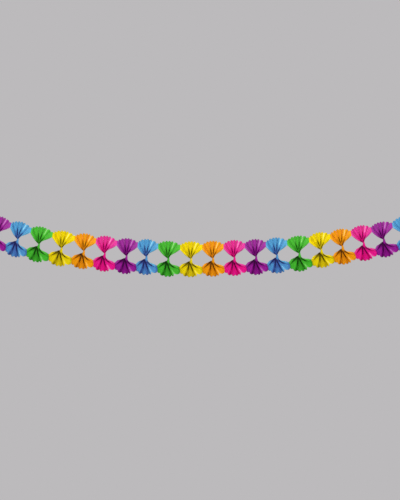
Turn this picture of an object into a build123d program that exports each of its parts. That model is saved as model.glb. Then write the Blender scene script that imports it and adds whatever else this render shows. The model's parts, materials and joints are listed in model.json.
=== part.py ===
from build123d import *

import os
from math import atan, cos, degrees, radians, sin, sqrt

# A pull-out tissue garland: a chain of pleated paper bows, hanging in a shallow
# arc between two end cards. Every bow is one sheet of coloured tissue, folded
# like an accordion, pinched at its middle and opened into an upper and a lower
# fan. Neighbouring bows are glued together at the outer corners of their fans.
# X runs along the garland, Y from its front to its back and Z up.

# Garland: the number of bows, and the arc that their necks hang on
bow_count = 20
hang_radius = 3240.0
bow_colours = ("purple", "blue", "green", "yellow", "orange", "pink")

# Upper fan: the degrees that each pleat opens, from left to right, the radius
# and the centre of its rim, and the point where its folds meet, over the neck
upper_openings = (7.0, 8.0, 11.0, 12.5, 10.5, 10.0, 10.5, 14.5, 18.0)
upper_radius = 66.0
upper_centre = 5.0
upper_apex = 1.0

# Lower fan: the same, under the neck, with the whole fan turned to the left by
# some degrees and its folds meeting to the left of the neck
lower_openings = (11.0, 11.0, 19.0, 20.0, 15.0, 14.0, 11.0, 24.0, 15.0)
lower_turn = 4.0
lower_radius = 60.0
lower_centre = 9.5
lower_apex = 8.5
lower_apex_shift = 4.0

# Pleats: how deep the fold before, between and after them goes, as a share of
# the depth of a full fold at the rim, and the sheet's wall
valley_shares = (1.0, 0.5, 1.0, 0.55, 1.0, 0.45, 1.0, 0.4, 1.0, 1.0)
pleat_depth = 13.0
paper_wall = 0.8

# Rim: the notch between two lobes, the deeper snip at one valley fold, and the
# share of a lobe left straight
notch_depth = 3.8
snip_depth = 6.5
snipped_valley = 7
lobe_share = 0.45

# Neck: the width that the folded sheet is pinched to
neck_width = 7.5

# Glue tabs at the fans' outer corners
upper_seam = 17.6
tab_wall = 0.6

# End cards with a punched hole to hang the garland by
card_thickness = 0.8
card_width = 16.0
card_margin = 3.0
card_corner = 4.0
hole_radius = 2.5


def rim_folds(openings, turn, radius, centre, way):
    """Where the folds of a fan meet its rim, left to right; every second one is a valley."""
    angle = -sum(openings) / 2 - turn
    leans = [(angle, valley_shares[0])]
    for opening, share in zip(openings, valley_shares[1:]):
        leans.append((angle + opening / 2, 0))
        angle += opening
        leans.append((angle, share))
    return [
        Vector(
            radius * sin(radians(lean)),
            (share - 0.5) * pleat_depth,
            way * (centre + radius * cos(radians(lean))),
        )
        for lean, share in leans
    ]


upper_rim = rim_folds(upper_openings, 0, upper_radius, upper_centre, 1)
upper_tip = Vector(0, 0, upper_apex)
lower_rim = rim_folds(lower_openings, lower_turn, lower_radius, lower_centre, -1)
lower_tip = Vector(-lower_apex_shift, 0, -lower_apex)


def edge_rise(rim, tip):
    """Height that a fan's rightmost fold gains for each millimetre to the right."""
    edge = rim[-1] - tip
    return edge.Z / edge.X


# The upper glue seam has its length where the rim lies that far over the fan's
# outer fold; half the distance between two bows, and their angle on the arc,
# follow from it
upper_rise = edge_rise(upper_rim, upper_tip)
seam_foot = upper_apex - upper_centre + upper_seam
run = 1 + upper_rise**2
half_pitch = (sqrt(run * upper_radius**2 - seam_foot**2) - seam_foot * upper_rise) / run
half_step = atan(half_pitch / hang_radius)
step = 2 * half_step

# Heights over the neck's middle at which the glued seams start and end
upper_seam_start = upper_apex + half_pitch * upper_rise
upper_seam_end = upper_seam_start + upper_seam
lower_seam_start = -lower_apex + (half_pitch + lower_apex_shift) * edge_rise(lower_rim, lower_tip)
lower_seam_end = -lower_centre - sqrt(lower_radius**2 - half_pitch**2)


def sheet_panels():
    """Corners of the flat panels between neighbouring folds, in the fans and the neck."""
    for fold in range(2 * len(upper_openings)):
        valley, peak = fold + fold % 2, fold + 1 - fold % 2
        notch = snip_depth if valley == 2 * snipped_valley else notch_depth
        gathered = []
        for rim, tip in ((upper_rim, upper_tip), (lower_rim, lower_tip)):
            gather = neck_width / (rim[-1].X - rim[0].X)
            peak_fold, valley_fold = rim[peak] - tip, rim[valley] - tip
            lobe = peak_fold + (valley_fold - peak_fold) * lobe_share
            snip = valley_fold * (1 - notch / valley_fold.length)
            ends = (tip + peak_fold * gather, tip + valley_fold * gather)
            yield [*ends, tip + snip, tip + lobe, tip + peak_fold]
            gathered.extend(ends)
        upper_peak, upper_valley, lower_peak, lower_valley = gathered
        yield [upper_peak, upper_valley, lower_valley]
        yield [upper_peak, lower_valley, lower_peak]


def seam_plane(side):
    """Plane on which a bow meets its left (-1) or right (1) neighbour, facing inwards."""
    inwards = (-side * cos(half_step), 0, -sin(half_step))
    return Plane((side * half_pitch, 0, 0), (0, -side, 0), inwards)


# One bow, with the middle of its neck at the origin

with BuildPart() as bow:
    # The folded sheet, opened into a fan above the neck and a wider one below
    for corners in sheet_panels():
        add(Face(Wire.make_polygon(corners)))
    extrude(amount=paper_wall / 2, dir=(0, 1, 0), both=True)
    # Its outer pleats, pressed flat on the planes where the next bows are glued on
    for side in (-1, 1):
        split(bisect_by=seam_plane(side), keep=Keep.TOP)
        with BuildSketch(seam_plane(side)):
            for start, end in ((upper_seam_start, upper_seam_end), (lower_seam_start, lower_seam_end)):
                with Locations((0, (start + end) / 2)):
                    Rectangle(pleat_depth, abs(end - start))
        extrude(amount=tab_wall)

# One end card, glued to the outer seams of the last bow and punched in line
# with the necks

with BuildPart() as end_card:
    card_top = upper_seam_end + card_margin
    card_bottom = lower_seam_end - card_margin
    with BuildSketch(Plane.YZ):
        with Locations((0, (card_top + card_bottom) / 2)):
            RectangleRounded(card_width, card_top - card_bottom, card_corner)
        Circle(hole_radius, mode=Mode.SUBTRACT)
    extrude(amount=card_thickness)

# The pieces along the arc, with the lowest point of the arc at the origin


def on_arc(turns):
    """Place on the arc, that many bows to the right of its lowest point."""
    angle = turns * step
    place = (hang_radius * sin(angle), 0, hang_radius * (1 - cos(angle)))
    return Location(place, (0, -degrees(angle), 0))


pieces = []
for number in range(bow_count):
    with BuildPart() as hung_bow:
        with Locations(on_arc(number - (bow_count - 1) / 2)):
            add(bow.part)
    colour = bow_colours[number % len(bow_colours)]
    hung_bow.part.label = f"bow_{number + 1:02d}_{colour}"
    pieces.append(hung_bow.part)

for side, way in (("left", -1), ("right", 1)):
    with BuildPart() as hung_card:
        with Locations(on_arc(way * bow_count / 2) * Rotation(0, 0, 90 - way * 90)):
            add(end_card.part)
    hung_card.part.label = f"end_card_{side}"
    pieces.append(hung_card.part)

# The garland's own origin is the middle of the box around it

os.makedirs("parts", exist_ok=True)
boxes = [piece.bounding_box() for piece in pieces]
middle_x = (min(box.min.X for box in boxes) + max(box.max.X for box in boxes)) / 2
middle_y = (min(box.min.Y for box in boxes) + max(box.max.Y for box in boxes)) / 2
middle_z = (min(box.min.Z for box in boxes) + max(box.max.Z for box in boxes)) / 2
for piece in pieces:
    piece.position -= Vector(middle_x, middle_y, middle_z)
    export_step(piece, f"parts/{piece.label}.step")
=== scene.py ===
import json
from collections import namedtuple
from math import asin, cos, exp, pi, radians, sin, tan

import bmesh
import bpy
from mathutils import Matrix, Vector, noise


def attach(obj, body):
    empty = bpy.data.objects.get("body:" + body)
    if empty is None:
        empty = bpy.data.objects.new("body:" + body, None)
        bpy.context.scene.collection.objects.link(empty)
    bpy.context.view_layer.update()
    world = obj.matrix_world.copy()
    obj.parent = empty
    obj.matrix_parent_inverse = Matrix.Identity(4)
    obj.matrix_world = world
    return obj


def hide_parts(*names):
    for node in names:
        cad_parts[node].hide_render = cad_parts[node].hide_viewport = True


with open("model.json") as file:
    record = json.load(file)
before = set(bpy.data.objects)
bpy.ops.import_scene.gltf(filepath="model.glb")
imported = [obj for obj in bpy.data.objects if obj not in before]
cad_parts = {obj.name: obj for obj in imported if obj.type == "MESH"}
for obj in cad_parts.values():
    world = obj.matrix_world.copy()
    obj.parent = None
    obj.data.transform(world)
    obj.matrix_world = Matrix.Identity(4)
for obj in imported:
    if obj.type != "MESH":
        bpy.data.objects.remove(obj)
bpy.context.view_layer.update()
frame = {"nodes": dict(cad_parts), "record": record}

# Tissue bows
# Each bow is one sheet of dyed tissue paper, folded like an accordion, pinched at its
# middle into a slack twist and opened into an upper and a lower fan with lobed rims.
# The outer corners of the fans are glued to the next bow, back to back on a narrow flap.

# A loose outer edge that hangs off its fold on one side (-1 or 1): how far from the neck
# it starts to hang, hangs most and stops, and how low it hangs there
Sag = namedtuple("Sag", "side first most last low")

# A fold with painted shade: its number, how dark the shade is, half its width, and the shares
# of the fan's radius where it is full, starts to fade and has faded to what is left at the rim
Crease = namedtuple("Crease", "fold dark width full fades_from fades_to at_rim")

# A fan's form: the degrees that its pleats open, from left to right, and the direction of
# its first fold, both seen from the centre of the rim, while the folds run to the apex;
# the rim's radius, its deeper snip and how much longer its corner lobes are; its way, up
# (1) or down (-1); and the shares of the folds where the gathers begin, left and right.
# Its painted light and shade: a shade all over, a shadow by the neck and in the wedge of
# middle pleats, dark folds, lobes tucked behind others (where, how dark), the shade where two
# bows lap, and the light it catches as a sheen, a streak by the snip and through its valleys.
Fan = namedtuple(
    "Fan",
    "openings first_fold radius snip corner centre apex way gather sags"
    " shade shadow wedge creases tucked_lobes lap_shade sheen streak through",
)

UPPER_FAN = Fan(
    openings=(7.0, 8.0, 11.0, 12.5, 10.5, 10.0, 10.5, 14.5, 18.0),
    first_fold=-51.0,
    radius=0.066,
    snip=0.0065,
    corner=0.0028,
    centre=Vector((0, 0, 0.005)),
    apex=Vector((0, 0, 0.001)),
    way=1,
    gather=(0.07, 0.12),
    sags=(
        Sag(-1, -0.004, 0.02, 0.06, 0.0034),
        Sag(1, 0.002, 0.01, 0.032, -0.0042),
    ),
    # Its painted shade and painted light
    shade=0.0,
    shadow=0.45,
    wedge=0.0,
    creases=(
        Crease(2, 0.85, 0.0028, 0.12, 0.18, 0.34, 0.0),
        Crease(3, 0.4, 0.0025, 0.30, 0.45, 0.65, 0.0),
        Crease(4, 0.85, 0.0035, 0.28, 0.45, 0.80, 0.05),
        Crease(6, 0.85, 0.0032, 0.30, 0.45, 0.80, 0.05),
        Crease(8, 0.9, 0.0044, 0.12, 0.32, 0.55, 0.10),
    ),
    tucked_lobes=(),
    lap_shade=0.0,
    sheen=0.12,
    streak=0.8,
    through=0.52,
)
LOWER_FAN = Fan(
    openings=(11.0, 11.0, 19.0, 20.0, 15.0, 14.0, 11.0, 24.0, 15.0),
    first_fold=-74.0,
    radius=0.060,
    snip=0.0095,
    corner=0.0008,
    centre=Vector((0, 0, -0.0095)),
    apex=Vector((-0.004, 0, -0.0085)),
    way=-1,
    gather=(0.06, 0.3),
    sags=(
        Sag(-1, 0.031, 0.043, 0.08, 0.008),
        Sag(-1, -0.002, 0.006, 0.02, -0.0022),
        Sag(1, 0.006, 0.015, 0.034, 0.003),
    ),
    # Its painted shade and painted light
    shade=0.12,
    shadow=1.0,
    wedge=0.5,
    creases=(
        Crease(2, 0.85, 0.0043, 0.0, 0.30, 0.85, 0.10),
        Crease(4, 0.95, 0.0045, 0.0, 0.45, 0.85, 0.25),
        Crease(6, 0.95, 0.0043, 0.0, 0.50, 0.90, 0.10),
        Crease(8, 1.0, 0.0045, 0.0, 0.45, 0.80, 0.05),
    ),
    tucked_lobes=((3.7, 0.7), (5.5, 0.5)),
    lap_shade=0.5,
    sheen=0.0,
    streak=0.6,
    through=0.0,
)

# Pleats: how deep each valley goes, as a share of a full one, the notches and the fine
# folds of the rim, how much rounder folds get towards it, the directions between which the
# corner lobes grow, and the shares of the sheet's width between which the gathers widen
PLEATS = len(UPPER_FAN.openings)
VALLEY_SHARES = (1.0, 0.5, 1.0, 0.55, 1.0, 0.45, 1.0, 0.4, 1.0, 1.0)
PLEAT_DEPTH = 0.013
NOTCH_DEPTH = 0.0055
SNIPPED_FOLD = 7
FINE_FOLDS = 3
FINE_FOLD_DEPTH = 0.0007
FOLD_ROUNDING = 0.15
CORNER_LOBES = (radians(28), radians(42))
GATHERS_WIDEN = (0.4, 0.95)
LOOSE_PLEATS = 2.5

# Neck: the ring that the slack sheet wraps round, and how far its folds are pulled in
NECK_MIDDLE = Vector((0.005, 0, -0.001))
NECK_RADIUS = 0.007
NECK_WRAP = radians(120)
NECK_FRONT = 0.6
NECK_PULL = 0.7

# Paper: where it flattens towards the glued flaps, its cut size and its ripples
SEAM_FLAT = 0.012
FLAP_DEPTH = 0.005
FLAP_GAP = 0.00005
PAPER_THICKNESS = 0.0002
RIPPLE_HEIGHT = 0.0008
RIPPLE_SCALE = 70
RIPPLE_STEP = 7.3

COLUMNS_PER_PLEAT = 12
FAN_ROWS = 16
NECK_ROWS = 14

# The necks hang on an arc that the punched holes at both ends lie on too
HANG_RADIUS = 3.24
bow_names = sorted(name for name in frame["nodes"] if name.startswith("bow_"))
right_hole = next(m for m in frame["record"]["mounts"] if m["name"] == "right_hanging_hole")
half_card = right_hole["dims"]["length_mm"] / 2000
last_seam = Vector(right_hole["pos_m"]) - half_card * Vector(right_hole["axis"])
end_angle = asin(last_seam.x / HANG_RADIUS)
half_step = end_angle / len(bow_names)
lowest_neck = last_seam.z - HANG_RADIUS * (1 - cos(end_angle))
half_pitch = HANG_RADIUS * tan(half_step)

# Millimetres that each bow's neck hangs to the right of its even place, and above it,
# as read from the photograph
HANGS_RIGHT = (0, -4, -4, 1, 4, 1, 2, -5, -4, 0, 1, 0, 0, -3, 0, 2, 1, 0, -5, 0)
HANGS_HIGH = (0, -2, -4, -4, -1, 0, -1, 2, -1, 0, 2, 3, 2, 2, 0, 3, 3, 2, -1, 0)

# How far the right lobes lap over the next bow, how far in that pulls the paper along, and
# the heights between which the lower lobes start to lap and lap fully
UPPER_LAP = 0.002
LOWER_LAP = 0.004
LAP_REACH = 0.02
LOWER_LAP_HEIGHTS = (-0.026, -0.044)


def smooth(low, high, value):
    """0 at low, 1 at high, and a soft step between them."""
    share = min(max((value - low) / (high - low), 0.0), 1.0)
    return share * share * (3 - 2 * share)


def fold_at(along):
    """Nearness to a valley fold, from 0 on a mountain fold to 1, and that valley's number."""
    pleat = min(int(along), PLEATS - 1)
    part = along - pleat
    return abs(2 * part - 1), pleat + round(part)


def angle_at(fan, along):
    """Direction of a point of the rim, seen from the rim's centre."""
    pleat = min(int(along), PLEATS - 1)
    return radians(fan.first_fold + sum(fan.openings[:pleat]) + (along - pleat) * fan.openings[pleat])


def rim_point(fan, along, roundness):
    """A point of the lobed rim, with mountain folds in front and valleys behind."""
    valley, number = fold_at(along)
    notch = fan.snip if number == SNIPPED_FOLD else NOTCH_DEPTH
    angle = angle_at(fan, along)
    fine = 2 * FINE_FOLD_DEPTH * (abs((along * FINE_FOLDS) % 1 - 0.5) - 0.25)
    reach = fan.radius - notch * valley**2 + fan.corner * smooth(*CORNER_LOBES, abs(angle)) + fine
    back = (VALLEY_SHARES[number] * valley**roundness - 0.5) * PLEAT_DEPTH + fine
    return fan.centre + Vector((reach * sin(angle), back, fan.way * reach * cos(angle)))


def fan_point(fan, along, out):
    """A point of the sheet in a fan: out is 0 at the gathers and 1 at the rim."""
    left, right = fan.gather
    start = left + (right - left) * smooth(*GATHERS_WIDEN, along / PLEATS)
    rim = rim_point(fan, along, 1 + FOLD_ROUNDING * out)
    point = fan.apex.lerp(rim, start + (1 - start) * out)
    for sag in fan.sags:
        from_edge = along if sag.side < 0 else PLEATS - along
        place = sag.side * point.x
        slack = smooth(LOOSE_PLEATS, 0, from_edge)
        point.z -= sag.low * slack * smooth(sag.first, sag.most, place) * smooth(sag.last, sag.most, place)
    return point


def neck_point(along, up):
    """A point of the pinched neck, on a curve from the lower to the upper gathers."""
    turn = (2 * along / PLEATS - 1 - NECK_FRONT) * NECK_WRAP
    ring = Vector((sin(turn), -cos(turn), 0)) * NECK_RADIUS
    low, high = fan_point(LOWER_FAN, along, 0), fan_point(UPPER_FAN, along, 0)
    low_pull = low.lerp(LOWER_FAN.apex, NECK_PULL)
    high_pull = high.lerp(UPPER_FAN.apex, NECK_PULL)
    down = 1 - up
    return (
        low * down**4
        + low_pull * 4 * down**3 * up
        + (NECK_MIDDLE + ring) * 6 * down**2 * up**2
        + high_pull * 4 * down * up**3
        + high * up**4
    )


def seam_distance(point):
    """How far a point lies inside the planes on which the bow meets its neighbours."""
    return half_pitch - point.z * tan(half_step) - abs(point.x)


def off_arc(shifts, place):
    """How far the paper hangs off the arc, at a place along the garland counted in bows."""
    before = min(int(max(place, 0)), len(shifts) - 2)
    towards_next = smooth(0, 1, place - before)
    return (shifts[before] + (shifts[before + 1] - shifts[before]) * towards_next) / 1000


def hang_unevenly(vert, number):
    """Moves a point of a bow off the arc, and its right lobes over the next bow's left ones."""
    inside = seam_distance(vert.co)
    place = number + vert.co.x / (2 * (inside + abs(vert.co.x)))
    lap = UPPER_LAP if vert.co.z > 0 else LOWER_LAP * smooth(*LOWER_LAP_HEIGHTS, vert.co.z)
    if 0 < place < len(bow_names) - 1:
        vert.co.x += lap * smooth(LAP_REACH, 0, inside)
    vert.co.x += off_arc(HANGS_RIGHT, place)
    vert.co.z += off_arc(HANGS_HIGH, place)


# Where each painted shade or painted light starts and where it is full: an edge or a side is
# counted in pleats from the left, and what lies outwards is a share of the fan's radius
LEFT_EDGE = (1.7, 0.7)
RIGHT_EDGE = (8.0, 8.8)
BEHIND_LAST_PLEAT = (8.4, 7.6)
SHADOW_OUT = (0.6, 0.06)
WEDGE_LEFT = (2.8, 3.6)
WEDGE_RIGHT = (7.0, 6.4)
WEDGE_OUT = (1.5, 0.3)
TUCK_OUT = (0.5, 0.85)
LAP_OUT = (0.5, 0.8)
SHEEN_OUT = (0.2, 1)
STREAK_OUT = (0.5, 0.7)
THROUGH_OUT = (0.3, 0.65)

# Widths, in pleats, of a tucked lobe's painted shade and of the painted highlight streak, which
# lies just beside the snip, and the painted light on the edges; a crease's painted shade comes
# in over a share of the radius, is narrower towards the rim and sharper on its right
TUCK_WIDTH = 0.4
STREAK_PLACE = SNIPPED_FOLD + 0.05
STREAK_WIDTH = 0.2
EDGE_GLOW = 0.28
CREASE_ONSET = 0.15
CREASE_AT_NECK = 1.3
CREASE_TAPER = 0.6
CREASE_SHARPER = 2

# Neck tones, painted shade and light: how far the fans' painted tones reach into it, the pleats
# that lie behind and their painted shade, and the least painted shade
NECK_TONE_REACH = 0.35
NECK_BEHIND = (6.6, 4.5)
NECK_SHADE = 0.7
NECK_LEAST_TONE = 0.06


def painted_crease_shade(fan, along, reach):
    """The painted shade of the dark folds at a place: each from the gathers outwards, until it fades."""
    share = reach / fan.radius
    darkest = 0
    for crease in fan.creases:
        right_of_it = along > crease.fold
        opening = fan.openings[crease.fold if right_of_it else crease.fold - 1]
        away = abs(along - crease.fold) * reach * radians(opening)
        if right_of_it:
            away *= CREASE_SHARPER
        line = crease.dark * exp(-((away / (crease.width * (CREASE_AT_NECK - CREASE_TAPER * share))) ** 4))
        line *= smooth(crease.full - CREASE_ONSET, crease.full, share)
        line *= 1 + (crease.at_rim - 1) * smooth(crease.fades_from, crease.fades_to, share)
        darkest = max(darkest, line)
    return darkest


def fan_light_and_shade(fan, along, point):
    """The painted shade at a point of a fan, in its folds, by the neck and where bows lap, and the painted
    light that its paper catches.
    """
    valley, number = fold_at(along)
    reach = (point - fan.apex).length
    share = reach / fan.radius
    edges = smooth(*LEFT_EDGE, along) + smooth(*RIGHT_EDGE, along)
    # Painted shadow by the neck, in the wedge of middle pleats and on the tucked lobes, but not on the
    # last pleat
    shadow = fan.shadow * smooth(*SHADOW_OUT, share)
    inner = smooth(*WEDGE_LEFT, along) * smooth(*WEDGE_RIGHT, along)
    shadow = max(shadow, fan.wedge * inner * smooth(*WEDGE_OUT, share))
    for lobe, strength in fan.tucked_lobes:
        tucked_shade = strength * exp(-(((along - lobe) / TUCK_WIDTH) ** 2))
        shadow = max(shadow, tucked_shade * smooth(*TUCK_OUT, share))
    shadow *= smooth(*BEHIND_LAST_PLEAT, along)
    # Painted shade where two bows lap, all over the fan and in its dark folds
    lapped_shade = fan.lap_shade * smooth(SEAM_FLAT, 0, seam_distance(point)) * smooth(*LAP_OUT, share)
    painted_shade = max(fan.shade * (1 - edges), shadow, lapped_shade, painted_crease_shade(fan, along, reach))
    # Painted light: a sheen towards the rim, a highlight streak by the snip, the edges and the valleys
    sheen = fan.sheen * smooth(*SHEEN_OUT, share)
    streak = fan.streak * exp(-(((along - STREAK_PLACE) / STREAK_WIDTH) ** 4)) * smooth(*STREAK_OUT, share)
    through = fan.through * VALLEY_SHARES[number] * valley * smooth(*THROUGH_OUT, share)
    return painted_shade, max(sheen, streak, EDGE_GLOW * edges, through)


rows = 2 * FAN_ROWS + NECK_ROWS
fan_share = FAN_ROWS / rows
neck_share = NECK_ROWS / rows


def sheet_point(along, row):
    """A point of the folded sheet, with its painted shade and its painted light."""
    if row < fan_share:
        point = fan_point(LOWER_FAN, along, 1 - row / fan_share)
        painted_shade, glow = fan_light_and_shade(LOWER_FAN, along, point)
    elif row > 1 - fan_share:
        point = fan_point(UPPER_FAN, along, (row - 1 + fan_share) / fan_share)
        painted_shade, glow = fan_light_and_shade(UPPER_FAN, along, point)
    else:
        up = (row - fan_share) / neck_share
        point = neck_point(along, up)
        # The fans' painted shade and light fade into the neck's ends, and the pleats behind get painted
        # shade
        low_painted_shade, low_glow = fan_light_and_shade(LOWER_FAN, along, fan_point(LOWER_FAN, along, 0))
        high_painted_shade, high_glow = fan_light_and_shade(UPPER_FAN, along, fan_point(UPPER_FAN, along, 0))
        low, high = smooth(NECK_TONE_REACH, 0, up), smooth(1 - NECK_TONE_REACH, 1, up)
        behind_shade = NECK_SHADE * smooth(*NECK_BEHIND, along)
        painted_shade = max(low_painted_shade * low, high_painted_shade * high, behind_shade, NECK_LEAST_TONE)
        glow = low_glow * low + high_glow * high
    point.y *= smooth(0, SEAM_FLAT, seam_distance(point))
    return point, painted_shade, glow


def make_bow_sheet():
    """One folded sheet with its neck's middle at the origin, cut at the seams and given flaps."""
    sheet = bmesh.new()
    sheet.loops.layers.uv.new("sheet")
    # Painted shade and painted light at every point of the sheet, for its colour
    painted_shade_layer = sheet.verts.layers.float.new("painted_shade")
    glow_layer = sheet.verts.layers.float.new("glow")
    columns = COLUMNS_PER_PLEAT * PLEATS
    bmesh.ops.create_grid(sheet, x_segments=columns, y_segments=rows, size=0.5, calc_uvs=True)
    for vert in sheet.verts:
        point, painted_shade, glow = sheet_point((vert.co.x + 0.5) * PLEATS, vert.co.y + 0.5)
        vert[painted_shade_layer] = painted_shade
        vert[glow_layer] = glow
        vert.co = point
    for side in (-1, 1):
        outwards = Vector((side * cos(half_step), 0, sin(half_step)))
        foot = Vector((side * (half_pitch - FLAP_GAP), 0, 0))
        geom = sheet.verts[:] + sheet.edges[:] + sheet.faces[:]
        cut = bmesh.ops.bisect_plane(sheet, geom=geom, plane_co=foot, plane_no=outwards, clear_outer=True)
        seam = [e for e in cut["geom_cut"] if isinstance(e, bmesh.types.BMEdge)]
        flap = bmesh.ops.extrude_edge_only(sheet, edges=seam)
        ends = [v for v in flap["geom"] if isinstance(v, bmesh.types.BMVert)]
        bmesh.ops.translate(sheet, vec=(0, FLAP_DEPTH, 0), verts=ends)
    bmesh.ops.recalc_face_normals(sheet, faces=sheet.faces)
    return sheet


bow_sheet = make_bow_sheet()


class Shade:
    """A socket of a material's nodes, with which sums can be written out."""

    def __init__(self, tree, socket):
        self.tree = tree
        self.socket = socket

    def node(self, kind, settings, inputs, output=0):
        """Adds a node, sets it up, feeds its sockets and gives one of its outputs."""
        made = self.tree.nodes.new(kind)
        for name, value in settings.items():
            setattr(made, name, value)
        for name, value in inputs.items():
            if isinstance(value, Shade):
                self.tree.links.new(value.socket, made.inputs[name])
            else:
                made.inputs[name].default_value = value
        return Shade(self.tree, made.outputs[output])

    def math(self, operation, first, second):
        """A sum of two values."""
        return self.node("ShaderNodeMath", {"operation": operation}, {0: first, 1: second})

    def __add__(self, other):
        return self.math("ADD", self, other)

    def __mul__(self, other):
        return self.math("MULTIPLY", self, other)

    def __sub__(self, other):
        return self.math("SUBTRACT", self, other)

    def __rsub__(self, other):
        return self.math("SUBTRACT", other, self)

    __radd__ = __add__
    __rmul__ = __mul__

    def mix(self, first, second):
        """The first colour where this is 0 and the second where it is 1."""
        return self.node("ShaderNodeMix", {"data_type": "RGBA"}, {0: self, 6: first, 7: second}, 2)


def colour(red, green, blue):
    """A colour as it is seen on a screen, from 0 to 255, for a shader's socket."""
    shares = (red / 255, green / 255, blue / 255)
    return (*[s / 12.92 if s <= 0.04045 else ((s + 0.055) / 1.055) ** 2.4 for s in shares], 1.0)


def new_material(name):
    """A material, its surface, and a handle for adding nodes to it."""
    material = bpy.data.materials.new(name)
    material.use_nodes = True
    tree = material.node_tree
    surface = tree.nodes["Principled BSDF"]
    return material, surface, Shade(tree, None)


# The paper's grain runs along its folds: noise cells across the sheet and along it
GRAIN_CELLS = (150.0, 5.0, 1.0)


def tissue(name, pale, bright, full, shaded, painted_shade):
    """Matte dyed tissue with painted shade, from shaded to darkest in the folds, painted light, from
    bright to pale where lit, and fine crinkles.
    """
    material, surface, add = new_material(name)
    # The sheet's painted shade and painted light
    fold = add.node("ShaderNodeAttribute", {"attribute_name": "painted_shade"}, {}, "Fac")
    glow = add.node("ShaderNodeAttribute", {"attribute_name": "glow"}, {}, "Fac")
    place = add.node("ShaderNodeTexCoord", {}, {}, "Object")
    sheet = add.node("ShaderNodeUVMap", {"uv_map": "sheet"}, {})
    along_folds = add.node("ShaderNodeMapping", {}, {"Vector": sheet, "Scale": GRAIN_CELLS})
    grain = add.node("ShaderNodeTexNoise", {}, {"Vector": along_folds, "Scale": 1.0, "Detail": 3.0})
    bands = add.node("ShaderNodeTexNoise", {}, {"Vector": along_folds, "Scale": 0.3, "Detail": 1.0})
    cloud = add.node("ShaderNodeTexNoise", {}, {"Vector": place, "Scale": 60.0, "Detail": 3.0})
    fibre = add.node("ShaderNodeTexNoise", {}, {"Vector": place, "Scale": 900.0, "Detail": 2.0})
    crinkle = add.node("ShaderNodeTexNoise", {}, {"Vector": place, "Scale": 260.0, "Detail": 3.0})
    painted_shade_and_mottle = fold + 0.12 * (cloud - 0.5) + 0.2 * (grain - 0.5) + 0.06 * (fibre - 0.5) + 0.5 * (bands - 0.5)
    lit = glow + 0.4 * (0.5 - bands)
    # Painted light lifts the plain dye to its lit copy and then to pale; painted shade takes it to its
    # shaded copy and then to its darkest
    brightened_paper = (3 * lit).mix(colour(*full), colour(*bright))
    lit_paper = (1.5 * lit - 0.5).mix(brightened_paper, colour(*pale))
    shaded_paper = (2 * painted_shade_and_mottle).mix(lit_paper, colour(*shaded))
    tone = (2 * painted_shade_and_mottle - 1).mix(shaded_paper, colour(*painted_shade))
    rough = 0.72 + 0.2 * cloud
    height = 0.6 * crinkle + 0.4 * fibre + 1.2 * grain
    bump = add.node("ShaderNodeBump", {}, {"Height": height, "Strength": 0.45, "Distance": 0.0006})
    add.tree.links.new(tone.socket, surface.inputs["Base Color"])
    add.tree.links.new(rough.socket, surface.inputs["Roughness"])
    add.tree.links.new(bump.socket, surface.inputs["Normal"])
    surface.inputs["Specular IOR Level"].default_value = 0.1
    return material


# Each dye in copies for painted light and shade: where light strikes through, where it is lit, plain,
# shaded, and darkest in a fold
DYES_LIT_AND_SHADED = {
    "purple": ((212, 158, 206), (170, 68, 164), (148, 24, 142), (108, 2, 106), (40, 0, 44)),
    "blue": ((176, 228, 240), (98, 174, 214), (76, 146, 194), (56, 84, 152), (28, 14, 72)),
    "green": ((172, 224, 148), (88, 192, 64), (66, 174, 44), (42, 130, 26), (4, 30, 0)),
    "yellow": ((255, 242, 140), (238, 216, 6), (220, 200, 0), (174, 154, 0), (40, 28, 0)),
    "orange": ((255, 220, 146), (239, 164, 32), (223, 149, 4), (194, 116, 0), (54, 24, 0)),
    "pink": ((248, 174, 210), (226, 76, 164), (215, 20, 132), (196, 0, 110), (60, 0, 42)),
}
tissues = {dye: tissue(f"tissue_{dye}", *tones) for dye, tones in DYES_LIT_AND_SHADED.items()}

# Every bow is held by what hangs before and after it
for number, bow_name in enumerate(bow_names):
    dye = bow_name.split("_")[2]
    angle = (2 * number - len(bow_names) + 1) * half_step
    neck = Vector((HANG_RADIUS * sin(angle), 0, lowest_neck + HANG_RADIUS * (1 - cos(angle))))
    place_on_arc = Matrix.Translation(neck) @ Matrix.Rotation(-angle, 4, "Y")
    mesh = bpy.data.meshes.new(f"tissue_{bow_name}")
    hung = bow_sheet.copy()
    for vert in hung.verts:
        ripple = noise.noise(vert.co * RIPPLE_SCALE + Vector((number * RIPPLE_STEP, 0, 0)))
        edge = smooth(0, SEAM_FLAT, seam_distance(vert.co))
        vert.co.y += RIPPLE_HEIGHT * ripple * edge
        hang_unevenly(vert, number)
    bmesh.ops.transform(hung, matrix=place_on_arc, verts=hung.verts)
    hung.to_mesh(mesh)
    hung.free()
    mesh.shade_smooth()
    mesh.materials.append(tissues[dye])
    bow = bpy.data.objects.new(f"tissue_{bow_name}", mesh)
    bpy.context.scene.collection.objects.link(bow)
    wall = bow.modifiers.new("paper", "SOLIDIFY")
    wall.thickness = PAPER_THICKNESS
    wall.offset = 0
    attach(bow, "root")
    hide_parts(bow_name)
bow_sheet.free()

# End cards
# Each end is a strip of plain white card with rounded corners, glued to the last bow's
# seams and punched for hanging. The solids have the right shape and get a card finish.

CARD_PALE = colour(232, 229, 222)
CARD_DULL = colour(206, 202, 194)

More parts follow.
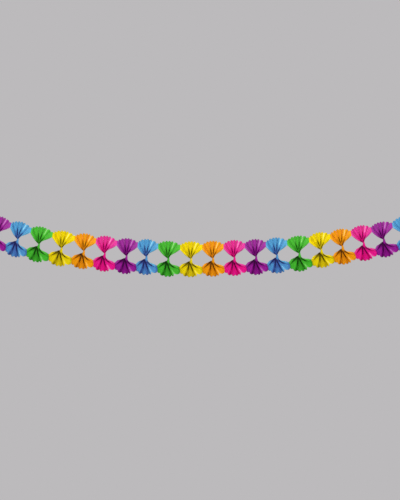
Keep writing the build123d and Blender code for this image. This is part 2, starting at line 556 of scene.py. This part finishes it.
card_material, card_surface, card = new_material("white_card")
card_place = card.node("ShaderNodeTexCoord", {}, {}, "Object")
card_pulp = card.node("ShaderNodeTexNoise", {}, {"Vector": card_place, "Scale": 500.0, "Detail": 4.0})
card_tone = card_pulp.mix(CARD_PALE, CARD_DULL)
card_bump = card.node("ShaderNodeBump", {}, {"Height": card_pulp, "Strength": 0.2, "Distance": 0.0003})
card.tree.links.new(card_tone.socket, card_surface.inputs["Base Color"])
card.tree.links.new(card_bump.socket, card_surface.inputs["Normal"])
card_surface.inputs["Roughness"].default_value = 0.8
for side in ("left", "right"):
    end_card = frame["nodes"][f"end_card_{side}"]
    end_card.data.materials.clear()
    end_card.data.materials.append(card_material)

# Studio
# A pale floor well below the garland and a plain grey surround, with a soft key light in
# front, above and a little to the right, a weaker one on the left and one behind. The
# camera looks straight at the front, so far away that the arc stays true.

SURROUND_GREY = colour(188, 186, 188)
FLOOR_GREY = colour(190, 188, 190)
FLOOR_DROP = 1.2
FLOOR_SIZE = 40.0
FLOOR_NEAR = 1.9
FLOOR_FAR = 2.6
SKY_WHITE = (1.0, 1.0, 1.0, 1.0)
SKY_STRENGTH = 0.45


def shows_surround(add):
    """1 where the camera looks, straight, in a gloss or through glass, and 0 for other light."""
    seen = add.node("ShaderNodeLightPath", {}, {}, "Is Camera Ray")
    glossy = add.node("ShaderNodeLightPath", {}, {}, "Is Glossy Ray")
    through = add.node("ShaderNodeLightPath", {}, {}, "Is Transmission Ray")
    return seen + glossy + through


floor_mesh = bpy.data.meshes.new("floor")
floor_shape = bmesh.new()
bmesh.ops.create_grid(floor_shape, x_segments=1, y_segments=1, size=FLOOR_SIZE / 2)
bmesh.ops.translate(floor_shape, vec=(0, 0, lowest_neck - FLOOR_DROP), verts=floor_shape.verts)
floor_shape.to_mesh(floor_mesh)
floor_shape.free()
floor = bpy.data.objects.new("floor", floor_mesh)
bpy.context.scene.collection.objects.link(floor)
floor_material, floor_surface, paint = new_material("grey_floor")
floor_surface.inputs["Base Color"].default_value = FLOOR_GREY
floor_surface.inputs["Roughness"].default_value = 0.9
plain = paint.node("ShaderNodeEmission", {}, {"Color": SURROUND_GREY, "Strength": 1.0})
diffuse = Shade(paint.tree, floor_surface.outputs[0])
floor_place = paint.node("ShaderNodeTexCoord", {}, {}, "Object")
distance = paint.node("ShaderNodeVectorMath", {"operation": "LENGTH"}, {0: floor_place}, "Value")
fade = {"Value": distance, "From Min": FLOOR_NEAR, "From Max": FLOOR_FAR}
far = paint.node("ShaderNodeMapRange", {}, fade)
mixed = paint.node("ShaderNodeMixShader", {}, {0: far * shows_surround(paint), 1: diffuse, 2: plain})
paint.tree.links.new(mixed.socket, paint.tree.nodes["Material Output"].inputs["Surface"])
floor_mesh.materials.append(floor_material)

world = bpy.data.worlds.new("studio")
world.use_nodes = True
bpy.context.scene.world = world
sky = Shade(world.node_tree, None)
surround = sky.node("ShaderNodeBackground", {}, {"Color": SURROUND_GREY, "Strength": 1.0})
sky_light = sky.node("ShaderNodeBackground", {}, {"Color": SKY_WHITE, "Strength": SKY_STRENGTH})
sky_mix = sky.node("ShaderNodeMixShader", {}, {0: shows_surround(sky), 1: sky_light, 2: surround})
sky.tree.links.new(sky_mix.socket, sky.tree.nodes["World Output"].inputs["Surface"])

centre = Vector((0, 0, lowest_neck))


def soft_light(name, place, size, watts):
    """A square soft box that faces the garland."""
    lamp = bpy.data.lights.new(name, "AREA")
    lamp.size = size
    lamp.energy = watts
    light = bpy.data.objects.new(name, lamp)
    light.location = centre + Vector(place)
    light.rotation_euler = (-Vector(place)).to_track_quat("-Z", "Y").to_euler()
    bpy.context.scene.collection.objects.link(light)


soft_light("key", (0.8, -4.4, 1.6), 2.2, 156)
soft_light("fill", (-2.6, -3.0, 0.6), 2.0, 35)
soft_light("back", (-1.2, 4.2, 1.6), 2.2, 150)

# The photograph's frame in pixels, and the pixel of the lowest point of the arc
PHOTO_WIDTH = 400
PHOTO_HEIGHT = 500
NECK_PIXEL = (201.6, 259.5)
METRES_PER_PIXEL = 0.00387
CAMERA_DISTANCE = 9.0
SENSOR_WIDTH = 36

camera_data = bpy.data.cameras.new("camera")
camera_data.sensor_width = SENSOR_WIDTH
camera_data.lens = SENSOR_WIDTH * CAMERA_DISTANCE / (PHOTO_HEIGHT * METRES_PER_PIXEL)
camera = bpy.data.objects.new("camera", camera_data)
right = (PHOTO_WIDTH / 2 - NECK_PIXEL[0]) * METRES_PER_PIXEL
up = (NECK_PIXEL[1] - PHOTO_HEIGHT / 2) * METRES_PER_PIXEL
camera.location = centre + Vector((right, -CAMERA_DISTANCE, up))
camera.rotation_euler = (pi / 2, 0, 0)
bpy.context.scene.collection.objects.link(camera)
bpy.context.scene.camera = camera
bpy.context.scene.view_settings.view_transform = "Standard"
